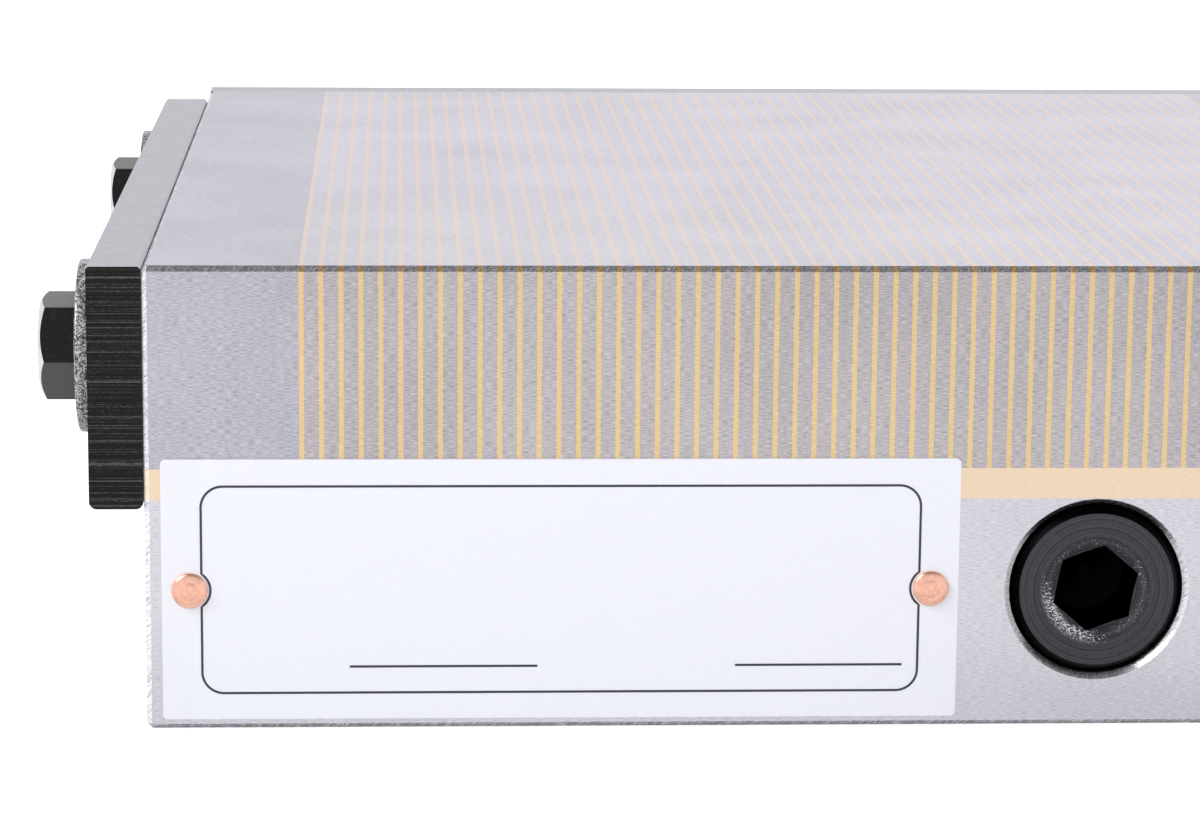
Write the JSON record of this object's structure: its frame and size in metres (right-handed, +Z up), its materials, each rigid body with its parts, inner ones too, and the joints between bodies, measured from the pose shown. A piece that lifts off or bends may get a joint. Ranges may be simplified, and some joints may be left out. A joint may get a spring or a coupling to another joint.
{
  "type": "magnetic chuck",
  "caption": "Fine-pole permanent magnetic chuck: laminated top plate, sliding magnet pack switched by a hex-key eccentric shaft, raisable side and rear stop rails.",
  "frame": {"origin": "middle of the base, on the face that rests on the machine table", "axes": "+Z up out of the work face; +X along the length, away from the end stop rail; the key shaft is on the -Y side"},
  "size_m": [0.1612, 0.1623, 0.048],
  "materials": {
    "housing_steel": "ground, brushed along the length",
    "plate_steel": "ground",
    "brass": "ground flush",
    "cover_steel": "blackened",
    "screw_steel": "black oxide",
    "plate_metal": "satin, printed border",
    "copper": "copper, bright",
    "shaft_steel": "black oxide, turned",
    "seal_rubber": "smooth",
    "bronze": "turned",
    "pin_steel": "ground",
    "tray_aluminium": "milled",
    "pole_steel": "ground",
    "magnet_grey": "sintered",
    "rail_steel": "ground",
    "washer_steel": "black oxide",
    "bolt_steel": "black oxide"
  },
  "bodies": {
    "root": {"housing": "housing_steel", "brass_band": "brass", "left_end_block": "plate_steel", "right_end_block": "plate_steel", "brass_laminations": "brass", "steel_laminations": "plate_steel", "base_cover": "cover_steel", "cover_screws": "screw_steel", "assembly_screws": "screw_steel", "nameplate": "plate_metal", "nameplate_rivets": "copper", "stop_pin": "pin_steel", "slide_strips": "brass", "left_stop_washers": "washer_steel", "left_stop_bolts": "bolt_steel", "rear_stop_washers": "washer_steel", "rear_stop_bolts": "bolt_steel"},
    "key_shaft": {"cam_shaft": "shaft_steel", "shaft_seal": "seal_rubber", "eccentric_bush": "bronze"},
    "magnet_pack": {"magnet_tray": "tray_aluminium", "pole_bars": "pole_steel", "magnets": "magnet_grey"},
    "left_stop": {"left_stop_rail": "rail_steel"},
    "rear_stop": {"rear_stop_rail": "rail_steel"}
  },
  "joints": [
    {"name": "key_turn", "type": "hinge", "parent": "root", "child": "key_shaft", "pos_m": [0.0225, -0.068, 0.0144], "axis": [0, 1, 0], "range_deg": [0, 180]},
    {"name": "pack_slide", "type": "slide", "parent": "root", "child": "magnet_pack", "axis": [1, 0, 0], "range_m": [0, 0.004]},
    {"name": "left_stop_raise", "type": "slide", "parent": "root", "child": "left_stop", "axis": [0, 0, 1], "range_m": [0, 0.006]},
    {"name": "rear_stop_raise", "type": "slide", "parent": "root", "child": "rear_stop", "axis": [0, 0, 1], "range_m": [0, 0.006]}
  ],
  "couplings": [
    {"joint": "key_turn", "follows": "pack_slide", "rad_per_m": 785.39}
  ]
}
